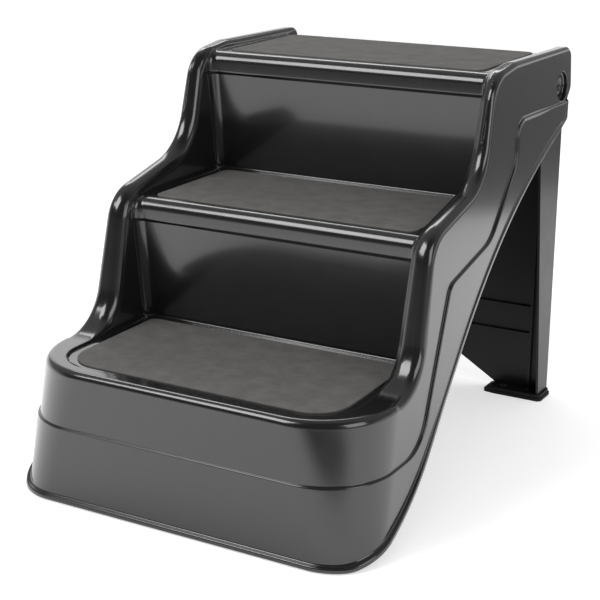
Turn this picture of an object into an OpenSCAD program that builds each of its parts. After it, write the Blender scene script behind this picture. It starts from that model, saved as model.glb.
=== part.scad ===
// Folding pet stairs: a moulded one-piece shell with three treads, and a rear leg that folds
// up into it. Lengths are millimetres, +Z is up, the climb starts at -Y and ends at +Y.

/* [Steps] */
// Height of each tread above the one below it
rise = 166.5; // [160:0.5:172]
// Depth of each tread from riser to riser
going = 186.5; // [180:0.5:192]
// Distance from the front of the shell to the foot of the second riser
bottom_step_d = 250; // [244:1:256]
// Distance from the foot of the top riser to the rear edge of the top tread
top_step_d = 194.5; // [188:0.5:200]
// How far a nosing stands in front of the foot of its riser
nosing_reach = 17; // [10:1:22]
// Radius of the rounded nosing
nosing_r = 20; // [12:1:24]
// Height of the nosing band
nosing_h = 28; // [26:1:36]
// Step back under the nosing band
nosing_lip = 2.5; // [1:0.5:5]
// Radius of the cove where a riser meets the tread below it
cove_r = 8; // [5:1:12]
// Radius of the rear edge of the top tread
tread_end_r = 8; // [5:1:12]

/* [Side walls] */
// How far the side walls reach past the top tread
cheek_d = 29; // [27:0.5:31]
// Height of the rim above the top tread
top_rim_h = 10.5; // [8:0.5:14]
// Height of the rim above the bottom tread
front_rim_h = 3.5; // [3:0.5:8]
// Distance from the front of the flange to the recess of the bottom tread, at the floor
recess_front = 41.5; // [36:0.5:50]
// Width over the upper walls at the floor
body_w = 494; // [492:1:504]
// Inward lean of each outer side wall over the full height
outer_draft = 20.5; // [18.5:0.1:21.5]
// Backward lean of the front wall over the full height
front_draft = 25.2; // [22:0.2:26.4]
// Width of each double side wall at the floor, from its outer to its inner face
side_w = 48; // [47:0.5:55]
// Outward lean of each inner wall over the full height
inner_draft = 8; // [4:0.5:9]
// Radius in plan of the front corners of the shell at the floor
corner_r = 61.5; // [50:0.5:70]
// How much that radius grows from the floor to the rim of the bottom tread
corner_growth = 39; // [20:1:42]
// Radius in plan of the front corners of the tread recess
recess_corner_r = 54; // [40:1:60]

/* [Shell] */
// Wall thickness of the moulding
wall = 3.5; // [2.5:0.1:4]
// Height of the base flange and of the lip along the lower edge
flange_h = 6; // [4:0.5:9]
// How far the flange stands out from the lower band
flange_out = 5.5; // [3:0.5:8]
// Length over which the flange fades out at the rear
flange_fade_d = 140; // [130:1:180]
// How far the lower band stands out from the upper wall
band_out = 3; // [2:0.5:4]
// Height of the lower band on the front
band_z = 97; // [90:1:110]
// Depth of the stiffening ribs under the treads
rib_h = 9; // [6:0.5:9]
// Thickness of the ribs
rib_t = 2.5; // [2:0.1:3.5]
// Distance between the lengthwise ribs
rib_pitch = 110; // [90:1:115]
// Height of the apron's lower edge below the top tread
apron_h = 29.5; // [24:0.5:31]

/* [Tread mats] */
// Thickness of the non-slip mats
mat_t = 3; // [2:0.5:4]
// Depth of the pocket that each mat lies in
mat_pocket = 1.2; // [0.8:0.1:1.6]
// Bare border left round each mat
mat_border = 9; // [6:1:16]
// Radius of the mats' corners
mat_r = 12; // [6:1:18]

/* [Rear leg] */
// Height of the hinge below the top tread
hinge_drop = 42.5; // [40.5:0.5:44.5]
// Distance of the hinge in front of the rear edge of the side walls
hinge_back = 36; // [34.5:0.5:37.5]
// How far the side flanges of the leg stand inside the upper walls' width at the floor
leg_inset = 28.5; // [27.5:0.25:29.5]
// Wall thickness of the leg
leg_wall = 3.5; // [2.5:0.1:4]
// Height of the leg's top edge above the hinge
leg_top_h = 21; // [19:0.5:22.5]
// Depth of the side flanges at the foot
leg_foot_d = 33; // [28:1:34]
// How far the rear of the foot stands behind the hinge
leg_foot_back = 25; // [22:0.5:26]
// How far the widest place of the side flanges stands in front of the hinge
leg_wide = 42; // [40:1:46]
// Height of the arch between the feet
arch_h = 68; // [50:1:74]
// Width of each foot of the leg, beside the arch
leg_foot_w = 77.5; // [73.5:0.5:95]
// Width of the level top of the arch between its corners
arch_top_w = 66; // [40:1:90]
// Radius of the arch's corners
arch_r = 60; // [20:1:80]
// Height of the ribs on the leg's inner face
leg_rib_h = 5; // [3:0.5:6]
// Thickness of the ribs on the leg's inner face
leg_rib_t = 4; // [3:0.5:5]

/* [Hinge] */
// Radius of the hinge pin
pin_r = 5; // [4:0.25:6]
// Radius of the pin's head
pin_head_r = 12; // [9:0.5:14]
// Height of the pin's head
pin_head_h = 4; // [3:0.5:5]
// Running clearance of the pin in its bores
pin_clearance = 0.06; // [0.03:0.01:0.09]
// Radius of the round recess in the side wall that the pin's head lies in
cup_r = 23; // [18:0.5:24.5]
// Thickness of the floor and the wall of that recess
cup_t = 3.2; // [2.5:0.1:3.4]
// Length of the boss on the inside of the leg's flange
boss_h = 4; // [2:0.5:5]
// Radius of that boss
boss_r = 12; // [10:0.5:13]
// Thickness of the clip that holds the pin
clip_t = 1.6; // [1.2:0.1:2]
// Radius of the clip
clip_r = 9; // [8:0.5:11]

/* [Rubber feet] */
// Radius of the rubber feet under the base
foot_r = 9; // [8:0.5:10]
// Gap between the base flange and the floor
foot_gap = 1.5; // [1:0.1:2]
// Depth of the pocket that each foot sits in
foot_pocket = 3; // [2:0.5:4]
// Radius of the stem that holds each foot
foot_stem_r = 3; // [2:0.25:4]
// Length of that stem
foot_stem_h = 10; // [6:1:14]
// Height of the bosses that hold the feet
foot_boss_h = 24; // [18:1:30]
// Thickness of the rubber pads under the leg
pad_t = 4; // [3:0.5:5]
// Height of the lip that grips the leg above each pad
pad_lip_h = 5; // [3:0.5:8]
// Thickness of that lip
pad_lip_t = 3; // [2:0.5:3.5]
// How far the pad spreads out below its lip
pad_flare = 1.5; // [0.5:0.5:2]
// How far each pad reaches past the leg under the arch
pad_toe = 8; // [4:1:10]
// Radius of the pads' outer corners in plan
pad_r = 7; // [5:0.5:10]
// Radius of the pads' corners under the arch
pad_toe_r = 18; // [10:1:20]
// Radius of the plugs that hold the pads and the feet
plug_r = 4; // [3:0.5:5]

/* [Hidden] */
$fn = 64;

// Overrun of cutting shapes past the faces they cut
over = 5;
// The same for the leaning bodies, as a share of the full height
overrun_share = 0.1;
// Flat pieces that each front corner of the walls is made of
corner_facets = 12;
// Clearance between pieces that are put together by hand or move past each other
gap = 0.3;
// Largest distance between a rounded corner and the straight pieces that it is drawn with
arc_sag = 0.06;

steps = 3;
overall_h = steps * rise + top_rim_h;
tread_end_y = bottom_step_d + going + top_step_d;
overall_d = tread_end_y + cheek_d;
front_rim_z = rise + front_rim_h;
// Foot of riser k, and height of tread k: riser 2 stands on tread 1
function riser_y(k) = bottom_step_d + (k - 2) * going;
function tread_z(k) = k * rise;

flange_r = corner_r + band_out + flange_out;
recess_w = body_w - 2 * side_w;
corner_x = body_w / 2 - corner_r;
corner_y = flange_r;
front_y = corner_y - corner_r;
recess_x = recess_w / 2 - recess_corner_r;
hinge_y = overall_d - hinge_back;
hinge_z = tread_z(steps) - hinge_drop;
leg_x = body_w / 2 - leg_inset;
leg_in_x = leg_x - leg_wall;
arch_w = 2 * (leg_x - leg_foot_w);
leg_top_z = hinge_z + leg_top_h;
leg_foot_rear_y = hinge_y + leg_foot_back;
leg_foot_front_y = leg_foot_rear_y - leg_foot_d;
apron_z = tread_z(steps) - apron_h;
// Lower edge of the rim's inner skins, clear of the top corner of the swinging leg
cheek_z = hinge_z + norm([cheek_d - hinge_back, leg_top_h]) + wall;
cup_in_x = leg_x + gap;
cup_floor_x = cup_in_x + cup_t;
cup_end_x = body_w / 2 - outer_draft * (hinge_z + cup_r + cup_t) / overall_h - gap;
boss_end_x = leg_in_x - boss_h;
clip_x = boss_end_x - gap - clip_t;
foot_boss_r = foot_r + gap + wall;
foot_y = front_y - band_out + wall / 2 + foot_boss_r;
foot_x_shares = [0.9, 0.3];
plug_x_shares = [0.24, 0.76];

// Corners of the side walls' rim: number of the riser, share of the going in front of its
// foot, share of the rise above its tread, corner radius as a share of the rise
rim_shares = [[2, 0.206, 0.054, 0.33], [3, 0.401, -0.732, 0.45], [3, 0.220, 0.012, 0.30]];
// Where the rim leaves the front, in the same shares, at the height of the front rim
rim_foot_share = 0.434;
rim_foot_r_share = 0.42;
// The top of the rim: shares of the length and of the height, corner radius as a share of
// the rise
crown_shares = [[0.70, 1, 0.6], [1, 0.994, 0.084]];
// Corners of the rear edge below it, in the same shares
back_shares = [[1, 0.884, 0.09], [0.976, 0.852, 0.09]];
// Corners of the lower edge from the rear to the front, in the same shares
edge_shares = [[0.973, 0.806, 0.036], [0.6495, 0.6632, 5.2], [0.2045, 0.0712, 1.8]];
// Where the lower edge meets the base: share of the length, corner radius share
edge_foot_share = 0.0302;
edge_foot_r_share = 0.3;
// Corners of the lower band's top line along the side walls, in the same shares
band_shares = [[0.388, 0.539, 0.15], [0.570, 0.590, 0.36], [0.6955, 0.7549, 0.24],
               [0.706, 0.8569, 0.13]];
// Where that line leaves the front band and where it ends at the rear
band_foot_share = 0.2545;
band_foot_r_share = 0.36;
band_end_share = 0.852;
// Edge of the leg's side flanges in front of the hinge: shares of its greatest depth and of
// the hinge's height below the hinge, corner radius as a share of that depth
ear_shares = [[1, 0.18, 0.95], [0.905, 0.033, 0.7]];
// Radii of the leg's top corners and of its foot, as shares of the same depth
leg_top_front_r_share = 0.07;
leg_top_rear_r_share = 0.2;
leg_foot_r_share = 0.05;
// Heights of the ribs across the leg and places of the lengthwise ones, as shares
leg_row_shares = [0.193, 0.281];
leg_column_share = 0.88;
// Radius of the pin's groove as a share of the pin's, and width of the clip's slot as a
// share of the groove's
groove_share = 0.8;
clip_slot_share = 0.9;

// Outlines with rounded corners are lists of [x, y, radius] corners in clockwise order
function unit(v) = v / norm(v);
function xy(p) = [p[0], p[1]];
function cross2(a, b) = a[0] * b[1] - a[1] * b[0];
function prev(p, i) = xy(p[(i + len(p) - 1) % len(p)]);
function next(p, i) = xy(p[(i + 1) % len(p)]);
function turn(p, i) = cross2(xy(p[i]) - prev(p, i), next(p, i) - xy(p[i]));
function inward(p, i) = let (d = unit(next(p, i) - xy(p[i]))) [d[1], -d[0]];
function meet(a, u, b, v) = a + u * cross2(b - a, v) / cross2(u, v);
// Moves side i of an outline inwards by d[i] and lets the radii follow
function inset(p, d) = [for (i = [0 : len(p) - 1])
    let (j = (i + len(p) - 1) % len(p),
         m = meet(xy(p[j]) + inward(p, j) * d[j], xy(p[i]) - prev(p, i),
                  xy(p[i]) + inward(p, i) * d[i], next(p, i) - xy(p[i])),
         g = min(d[i], d[j]))
    [m[0], m[1], p[i][2] == 0 ? 0 : max(0, turn(p, i) < 0 ? p[i][2] - g : p[i][2] + g)]];

// Points of corner i along its arc
function corner(p, i) =
    let (c = xy(p[i]), r = p[i][2], a = unit(prev(p, i) - c), b = unit(next(p, i) - c),
         half = acos(a * b) / 2, m = c + unit(a + b) * r / sin(half),
         s = c + a * r / tan(half) - m, start = atan2(s[1], s[0]),
         sweep = (turn(p, i) < 0 ? -1 : 1) * (180 - 2 * half),
         n = ceil(abs(sweep) / (2 * acos(1 - min(0.5, arc_sag / r)))))
    [for (k = [0 : n]) m + r * [cos(start + sweep * k / n), sin(start + sweep * k / n)]];
function rounded(p) =
    [for (i = [0 : len(p) - 1]) each p[i][2] > 0 ? corner(p, i) : [xy(p[i])]];

module outline(p) {
    polygon(rounded(p));
}

// Centres the length on the origin
module placed() {
    translate([0, -overall_d / 2, 0]) children();
}

module on_side(side) {
    if (side < 0) mirror([1, 0, 0]) children();
    else children();
}

// Extrudes a side view, drawn as [y, z], from x0 to x1
module slab(x0, x1) {
    translate([x0, 0, 0]) rotate([90, 0, 90]) linear_extrude(x1 - x0) children();
}

module across(half) {
    slab(-half, half) children();
}

// Drawn along X from x0 on the hinge's axis
module on_hinge(x0) {
    translate([x0, hinge_y, hinge_z]) rotate([0, 90, 0]) children();
}

// Block with two round front corners: half width cx + r and front face cy - r, where the
// corner radius r is r0 at the floor and changes by lean over the full height
module draft_body(cx, cy, r0, lean, rear) {
    z0 = -overall_h * overrun_share;
    z1 = overall_h * (1 + overrun_share);
    a = r0 - lean * overrun_share;
    b = r0 + lean * (1 + overrun_share);
    union() {
        slab(-cx, cx) polygon([[cy, z0], [cy - a, z0], [cy - b, z1], [cy, z1]]);
        translate([0, rear, 0]) rotate([90, 0, 0]) linear_extrude(rear - cy)
            polygon([[-cx - a, z0], [cx + a, z0], [cx + b, z1], [-cx - b, z1]]);
        translate([cx, cy, 0]) rotate([0, 0, 270]) rotate_extrude(angle = 90)
            polygon([[0, z0], [a, z0], [b, z1], [0, z1]]);
        translate([-cx, cy, 0]) rotate([0, 0, 180]) rotate_extrude(angle = 90)
            polygon([[0, z0], [a, z0], [b, z1], [0, z1]]);
    }
}

// Plan of the outer walls at height z, grown by g: its corners' radius grows with the height
function wall_plan(z, g) =
    let (w = body_w / 2 + g - outer_draft * z / overall_h,
         f = front_y - g + front_draft * z / overall_h,
         r = corner_r + g + corner_growth * z / front_rim_z,
         n = corner_facets)
    concat([[-w, overall_d + 2 * over]],
           [for (i = [0 : n]) [r - w - r * cos(90 * i / n), f + r - r * sin(90 * i / n)]],
           [for (i = [0 : n]) [w - r + r * sin(90 * i / n), f + r - r * cos(90 * i / n)]],
           [[w, overall_d + 2 * over]]);

// Body of the outer walls, grown by g
module wall_body(g) {
    z0 = -overall_h * overrun_share;
    z1 = overall_h * (1 + overrun_share);
    p = concat([for (q = wall_plan(z0, g)) concat(q, [z0])],
               [for (q = wall_plan(z1, g)) concat(q, [z1])]);
    n = len(p) / 2;
    polyhedron(p, concat([[for (i = [0 : n - 1]) i], [for (i = [0 : n - 1]) 2 * n - 1 - i]],
        [for (i = [0 : n - 1]) [i, n + i, n + (i + 1) % n, (i + 1) % n]]));
}

// Body between the side walls, grown by g
module recess_body(g) {
    draft_body(recess_x, recess_front + recess_corner_r, recess_corner_r + g, inner_draft,
               overall_d + 2 * over);
}

side_profile = concat(
    [[-over, foot_gap, 0], [-over, front_rim_z, 0],
     [riser_y(2) - rim_foot_share * going, front_rim_z, rim_foot_r_share * rise]],
    [for (s = rim_shares) [riser_y(s[0]) - s[1] * going, tread_z(s[0]) + s[2] * rise,
                           s[3] * rise]],
    [for (s = crown_shares) [s[0] * overall_d, s[1] * overall_h, s[2] * rise]],
    [for (s = concat(back_shares, edge_shares))
        [s[0] * overall_d, s[1] * overall_h, s[2] * rise]],
    [[edge_foot_share * overall_d, foot_gap, edge_foot_r_share * rise]]);
rim_sides = 6;
back_sides = len(back_shares) + 1;
edge_sides = len(edge_shares) + 1;

// Side view of the whole moulding: the rim moved inwards by top, the rear edge by back and
// the lower edge by low
module profile(top, back, low) {
    n = len(side_profile);
    outline(inset(side_profile, [for (i = [0 : n - 1])
        i == 0 ? 0 : i <= rim_sides ? top : i <= rim_sides + back_sides ? back : low]));
}

band_profile = concat(
    [[-over, -over, 0], [-over, band_z, 0],
     [band_foot_share * overall_d, band_z, band_foot_r_share * rise]],
    [for (s = band_shares) [s[0] * overall_d, s[1] * overall_h, s[2] * rise]],
    [[overall_d + over, band_end_share * overall_h, 0], [overall_d + over, -over, 0]]);

// Side view of the lower band with its top line lowered by top
module band(top) {
    n = len(band_profile);
    outline(inset(band_profile, [for (i = [0 : n - 1]) i > 0 && i < n - 2 ? top : 0]));
}

// Side view of the space above the treads: the rear corners, then from the top tread down,
// with or without the small step under each nosing
function space_profile(lip) = concat(
    [[-over, overall_h + over, 0], [overall_d + over, overall_h + over, 0],
     [overall_d + over, -over, 0], [tread_end_y, -over, 0],
     [tread_end_y, tread_z(steps), tread_end_r]],
    [for (k = [steps : -1 : 2]) each concat(
        [[riser_y(k) - nosing_reach, tread_z(k), nosing_r]],
        lip ? [[riser_y(k) - nosing_reach, tread_z(k) - nosing_h, 0],
               [riser_y(k) - nosing_reach + nosing_lip, tread_z(k) - nosing_h, 0]] : [],
        [[riser_y(k), tread_z(k - 1), cove_r]])],
    [[-over, rise, 0]]);

// The space above the treads, grown by d into the treads and risers
module space(d, lip = true) {
    p = space_profile(lip);
    n = len(p);
    outline(inset(p, [for (i = [0 : n - 1]) i > 2 && i < n - 1 ? -d : 0]));
}

// The same with the apron's lower edge and the open rear below the rim
module skin_space(d, lip = true) {
    difference() {
        space(d, lip);
        translate([tread_end_y - d - over, -2 * over])
            square([overall_d, apron_z + 2 * over]);
        translate([tread_end_y, -2 * over]) square([overall_d, cheek_z + 2 * over]);
    }
}

// Rounded rectangle in plan from [x0, y0] to [x1, y1] with rear and front corner radii
module plate(x0, y0, x1, y1, r_rear, r_front) {
    outline([[x0, y0, r_front], [x0, y1, r_rear], [x1, y1, r_rear], [x1, y0, r_front]]);
}

function mat_front(k) =
    k == 1 ? recess_front + mat_border : riser_y(k) - nosing_reach + nosing_r;
function mat_rear(k) =
    k == steps ? tread_end_y - tread_end_r - mat_border / 2 : riser_y(k + 1) - cove_r;

// Plan of the mat on tread k, made smaller by g all round
module mat_plan(k, g) {
    w = recess_w / 2 - mat_border - g;
    plate(-w, mat_front(k) + g, w, mat_rear(k) - g, mat_r,
          k == 1 ? recess_corner_r - mat_border : mat_r);
}

// Lower edge of the moulding, carried past the rear, with the space below it
lower_profile =
    let (e = side_profile, n = len(e), last = xy(e[n - edge_sides]))
    concat([[-2 * over, -2 * over, 0], [-2 * over, foot_gap, 0]],
           [for (i = [n - 1 : -1 : n - edge_sides + 1]) e[i]],
           [concat(last + over * unit(last - xy(e[n - edge_sides + 1])), [0])],
           [[last[0] + 4 * over, -2 * over, 0]]);

// Side view of the space below the lower edge and of the flange above it
module flange_strip() {
    n = len(lower_profile);
    outline(inset(lower_profile,
                  [for (i = [0 : n - 1]) i > 0 && i < n - 2 ? -flange_h : 0]));
}

// Plan that trims the flange and the band at the rear down to the wall
module fade_plan() {
    w = body_w / 2 - outer_draft * edge_shares[0][1];
    s = edge_shares[1][1];
    v = body_w / 2 - outer_draft * s + band_out + flange_out;
    polygon([[-overall_d, -over], [overall_d, -over], [overall_d, overall_d - flange_fade_d],
             [v, overall_d - flange_fade_d], [w, overall_d], [w, overall_d + over],
             [-w, overall_d + over], [-w, overall_d], [-v, overall_d - flange_fade_d],
             [-overall_d, overall_d - flange_fade_d]]);
}

// The moulding before it is hollowed: upper walls, lower band, flange and lower lip
module shell_block() {
    difference() {
        intersection() {
            across(overall_d) profile(0, 0, 0);
            union() {
                wall_body(0);
                intersection() {
                    across(overall_d) band(0);
                    wall_body(band_out);
                }
                intersection() {
                    across(overall_d) flange_strip();
                    wall_body(band_out + flange_out);
                }
            }
            translate([0, 0, -over]) linear_extrude(overall_h + 2 * over) fade_plan();
        }
        intersection() {
            across(overall_d) space(0);
            recess_body(0);
        }
    }
}

// The hollow under the treads and inside the side walls, open below and at the rear
module hollow() {
    difference() {
        intersection() {
            across(overall_d) profile(wall, wall, -2 * over);
            union() {
                wall_body(-wall);
                intersection() {
                    across(overall_d) band(wall);
                    wall_body(band_out - wall);
                }
            }
        }
        intersection() {
            across(overall_d) skin_space(wall);
            recess_body(wall);
        }
    }
    translate([-leg_x - 3 * gap, tread_end_y, -over])
        cube([2 * leg_x + 6 * gap, overall_d, cheek_z + over]);
}

// Side view of the ribs under the treads and behind the risers
module rib_strip() {
    difference() {
        skin_space(wall + rib_h, false);
        skin_space(wall / 2, false);
    }
}

// Lengthwise ribs along the treads and risers, and one rib across under each tread
module shell_ribs() {
    intersection() {
        union() {
            for (i = [-1 : 1])
                slab(i * rib_pitch - rib_t / 2, i * rib_pitch + rib_t / 2) rib_strip();
            for (k = [1 : steps]) across(overall_d) intersection() {
                rib_strip();
                translate([(mat_front(k) + mat_rear(k) - rib_t) / 2, -over])
                    square([rib_t, overall_h]);
            }
        }
        wall_body(-wall / 2);
        recess_body(wall / 2);
    }
}

module stair_shell() {
    color("dimgray") placed() difference() {
        union() {
            difference() {
                shell_block();
                hollow();
            }
            shell_ribs();
            for (side = [-1, 1]) on_side(side) {
                on_hinge(cup_in_x) cylinder(cup_end_x - cup_in_x, r = cup_r + cup_t);
                for (s = foot_x_shares) translate([s * corner_x, foot_y, foot_gap])
                    cylinder(foot_boss_h, r = foot_boss_r);
            }
        }
        for (side = [-1, 1]) on_side(side) {
            on_hinge(cup_floor_x) cylinder(overall_d, r = cup_r);
            on_hinge(cup_in_x - over) cylinder(cup_t + 2 * over, r = pin_r + pin_clearance);
            for (s = foot_x_shares) translate([s * corner_x, foot_y, 0]) {
                cylinder(foot_gap + foot_pocket, r = foot_r + gap);
                cylinder(foot_gap + foot_pocket + foot_stem_h + gap,
                         r = foot_stem_r + pin_clearance);
            }
        }
        for (k = [1 : steps]) translate([0, 0, tread_z(k) - mat_pocket])
            linear_extrude(mat_t) mat_plan(k, 0);
    }
}

module tread_mat(k) {
    color([0.22, 0.21, 0.21]) placed() translate([0, 0, tread_z(k) - mat_pocket])
        linear_extrude(mat_t) mat_plan(k, gap);
}

module tread_mat_bottom() {
    tread_mat(1);
}

module tread_mat_middle() {
    tread_mat(2);
}

module tread_mat_top() {
    tread_mat(3);
}

leg_profile = concat(
    [[leg_foot_front_y, pad_t, leg_foot_r_share * leg_wide]],
    [for (s = ear_shares) [hinge_y - s[0] * leg_wide, hinge_z * (1 - s[1]), s[2] * leg_wide]],
    [[tread_end_y + gap, leg_top_z, leg_top_front_r_share * leg_wide],
     [overall_d, leg_top_z, leg_top_rear_r_share * leg_wide],
     [leg_foot_rear_y, pad_t, leg_foot_r_share * leg_wide]]);

// Side view of the leg: front edge, top, rear face and foot moved inwards
module leg_side(front, top, back, low) {
    outline(inset(leg_profile, [front, front, front, top, back, low]));
}

// Strip of the leg's side view on the inner face of its rear panel, d deep
module leg_strip(d) {
    difference() {
        leg_side(0, 0, leg_wall / 2, 0);
        leg_side(-over, leg_wall - d, leg_wall + d, -over);
        square([tread_end_y + gap, overall_h]);
    }
}

module arch() {
    outline([[-arch_w / 2, -over, 0], [-arch_w / 2, pad_t, 0],
             [-arch_top_w / 2, arch_h, arch_r], [arch_top_w / 2, arch_h, arch_r],
             [arch_w / 2, pad_t, 0], [arch_w / 2, -over, 0]]);
}

function plug_x(s) = arch_w / 2 + s * (leg_in_x - arch_w / 2);
plug_y = leg_foot_rear_y - leg_foot_d / 2;

module rear_leg() {
    rib_x = leg_column_share * leg_x;
    color("dimgray") placed() difference() {
        union() {
            difference() {
                across(leg_x) leg_side(0, 0, 0, 0);
                across(leg_in_x) union() {
                    leg_side(-over, leg_wall, leg_wall, -over);
                    translate([0, -over]) square([tread_end_y + gap, overall_h]);
                }
            }
            for (s = leg_row_shares) across(rib_x) intersection() {
                leg_strip(leg_rib_h);
                translate([0, s * hinge_z - leg_rib_t / 2]) square([overall_d, leg_rib_t]);
            }
            for (side = [-1, 1]) on_side(side) {
                slab(rib_x - leg_rib_t / 2, rib_x + leg_rib_t / 2) intersection() {
                    leg_strip(leg_rib_h);
                    square([overall_d, leg_top_z - leg_wall / 2]);
                }
                slab(arch_w / 2, leg_x - leg_wall / 2) intersection() {
                    leg_side(0, 0, leg_wall / 2, 0);
                    square([overall_d, pad_t + leg_wall]);
                }
                on_hinge(boss_end_x) cylinder(boss_h + leg_wall / 2, r = boss_r);
            }
        }
        translate([0, overall_d + over, 0]) rotate([90, 0, 0]) linear_extrude(overall_d) arch();
        for (side = [-1, 1]) on_side(side) {
            on_hinge(boss_end_x - over)
                cylinder(boss_h + leg_wall + 2 * over, r = pin_r + pin_clearance);
            for (s = plug_x_shares) translate([plug_x(s), plug_y, 0])
                cylinder(pad_t + leg_wall + over, r = plug_r + pin_clearance);
        }
    }
}

// Rubber pad with a lip round the foot of the leg and two plugs through its plate
module leg_foot(side) {
    x0 = arch_w / 2 - pad_toe;
    x1 = leg_x + gap + pad_lip_t;
    y0 = leg_foot_front_y - gap - pad_lip_t;
    y1 = leg_foot_rear_y + gap + pad_lip_t;
    f = pad_flare;
    color([0.1, 0.1, 0.1]) placed() on_side(side) union() {
        linear_extrude(pad_t)
            outline([[x0, y0 - f, pad_toe_r], [x0, y1 + f, pad_toe_r],
                     [x1 + f, y1 + f, pad_r], [x1 + f, y0 - f, pad_r]]);
        difference() {
            linear_extrude(pad_t + pad_lip_h) plate(x0, y0, x1, y1, pad_r, pad_r);
            translate([x0 - over, leg_foot_front_y - gap, pad_t])
                cube([leg_x + gap + over - x0, leg_foot_d + 2 * gap, pad_lip_h + over]);
            translate([x0 - over, y0 - over, pad_t])
                cube([pad_toe + over, overall_d, pad_lip_h + over]);
        }
        for (s = plug_x_shares) translate([plug_x(s), plug_y, pad_t - pad_t / 2]) {
            cylinder(pad_t / 2 + leg_wall + pad_lip_t, r = plug_r);
            translate([0, 0, pad_t / 2 + leg_wall])
                cylinder(pad_lip_t, r1 = plug_r + pad_flare, r2 = plug_r);
        }
    }
}

module leg_foot_left() {
    leg_foot(-1);
}

module leg_foot_right() {
    leg_foot(1);
}

// Headed pin: domed head in the recess of the side wall, groove for the clip inside the leg
module hinge_pin(side) {
    dome_h = pin_head_h / 2;
    dome_r = (pin_head_r * pin_head_r + dome_h * dome_h) / (2 * dome_h);
    color([0.15, 0.15, 0.15]) placed() on_side(side) difference() {
        union() {
            on_hinge(clip_x - clip_t) cylinder(cup_floor_x + dome_h - clip_x + clip_t, r = pin_r);
            on_hinge(cup_floor_x) intersection() {
                cylinder(pin_head_h, r = pin_head_r);
                translate([0, 0, pin_head_h - dome_r]) sphere(dome_r);
            }
        }
        on_hinge(clip_x - pin_clearance) difference() {
            cylinder(clip_t + 2 * pin_clearance, r = pin_r + over);
            cylinder(clip_t + 2 * pin_clearance, r = pin_r * groove_share);
        }
    }
}

module hinge_pin_left() {
    hinge_pin(-1);
}

module hinge_pin_right() {
    hinge_pin(1);
}

// Open spring clip that snaps into the groove of the pin
module pin_clip(side) {
    groove_r = pin_r * groove_share + pin_clearance;
    color("silver") placed() on_side(side) on_hinge(clip_x) linear_extrude(clip_t)
        difference() {
            circle(clip_r);
            circle(groove_r);
            translate([0, -groove_r * clip_slot_share]) square([clip_r + over,
                2 * groove_r * clip_slot_share]);
        }
}

module pin_clip_left() {
    pin_clip(-1);
}

module pin_clip_right() {
    pin_clip(1);
}

// Rubber foot with a stem, pressed into its boss
module base_foot(side, share) {
    color([0.1, 0.1, 0.1]) placed() on_side(side)
        translate([share * corner_x, foot_y, 0]) union() {
            cylinder(foot_gap, r1 = foot_r - foot_gap / 2, r2 = foot_r);
            translate([0, 0, foot_gap]) cylinder(foot_pocket, r = foot_r);
            translate([0, 0, foot_gap]) cylinder(foot_pocket + foot_stem_h, r = foot_stem_r);
        }
}

module base_foot_outer_left() {
    base_foot(-1, foot_x_shares[0]);
}

module base_foot_inner_left() {
    base_foot(-1, foot_x_shares[1]);
}

module base_foot_inner_right() {
    base_foot(1, foot_x_shares[1]);
}

module base_foot_outer_right() {
    base_foot(1, foot_x_shares[0]);
}

stair_shell();
tread_mat_bottom();
tread_mat_middle();
tread_mat_top();
rear_leg();
leg_foot_left();
leg_foot_right();
hinge_pin_left();
hinge_pin_right();
pin_clip_left();
pin_clip_right();
base_foot_outer_left();
base_foot_inner_left();
base_foot_inner_right();
base_foot_outer_right();
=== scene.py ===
import math
import bpy
import bmesh
import numpy as np
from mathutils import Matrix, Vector


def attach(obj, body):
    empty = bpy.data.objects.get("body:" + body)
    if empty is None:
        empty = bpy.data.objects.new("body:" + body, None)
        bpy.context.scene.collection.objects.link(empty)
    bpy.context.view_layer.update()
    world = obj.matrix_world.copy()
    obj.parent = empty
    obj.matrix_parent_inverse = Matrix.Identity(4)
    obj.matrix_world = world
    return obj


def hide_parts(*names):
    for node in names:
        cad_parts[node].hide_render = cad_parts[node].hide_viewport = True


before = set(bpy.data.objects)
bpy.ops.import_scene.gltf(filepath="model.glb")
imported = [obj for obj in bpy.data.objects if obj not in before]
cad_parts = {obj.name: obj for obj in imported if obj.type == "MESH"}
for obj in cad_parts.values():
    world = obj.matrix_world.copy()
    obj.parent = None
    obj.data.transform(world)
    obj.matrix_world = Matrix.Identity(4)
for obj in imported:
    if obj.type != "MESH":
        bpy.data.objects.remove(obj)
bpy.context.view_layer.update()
scene = bpy.context.scene
print("frame loaded")

# Colours are sRGB from 0 to 1, grain and wave sizes and depths millimetres. A swing is the whole
# change of the roughness, or the change of the colour to either side
finishes = {
    "plastic": {"colour": (0.09, 0.09, 0.093), "rough": 0.22, "specular": 0.6, "coat": 1.0,
                "grain": 2.4, "grainDepth": 0.002, "wave": 90.0, "waveDepth": 0.1},
    "leg": {"colour": (0.12, 0.12, 0.123), "rough": 0.4, "specular": 0.5, "coat": 0.2,
            "grain": 2.0, "grainDepth": 0.006, "wave": 90.0, "waveDepth": 0.1},
    "mat": {"colour": (0.405, 0.4, 0.39), "rough": 0.78, "specular": 0.2, "grain": 1.1,
            "grainDepth": 0.22, "wave": 40.0, "waveDepth": 0.15, "colourSwing": 0.16, "roughSwing": 0.08},
    "rubber": {"colour": (0.085, 0.085, 0.088), "rough": 0.62, "specular": 0.4, "grain": 1.6,
               "grainDepth": 0.08, "wave": 20.0, "waveDepth": 0.1, "colourSwing": 0.2},
    "pin": {"colour": (0.13, 0.13, 0.135), "rough": 0.22, "specular": 0.6,
            "grain": 0.7, "grainDepth": 0.02, "wave": 6.0, "waveDepth": 0.05},
    "steel": {"colour": (0.60, 0.60, 0.61), "rough": 0.3, "specular": 0.5, "metallic": 1.0, "grain": 0.5,
              "grainDepth": 0.02, "wave": 4.0, "waveDepth": 0.02, "colourSwing": 0.1, "roughSwing": 0.1},
}
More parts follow.
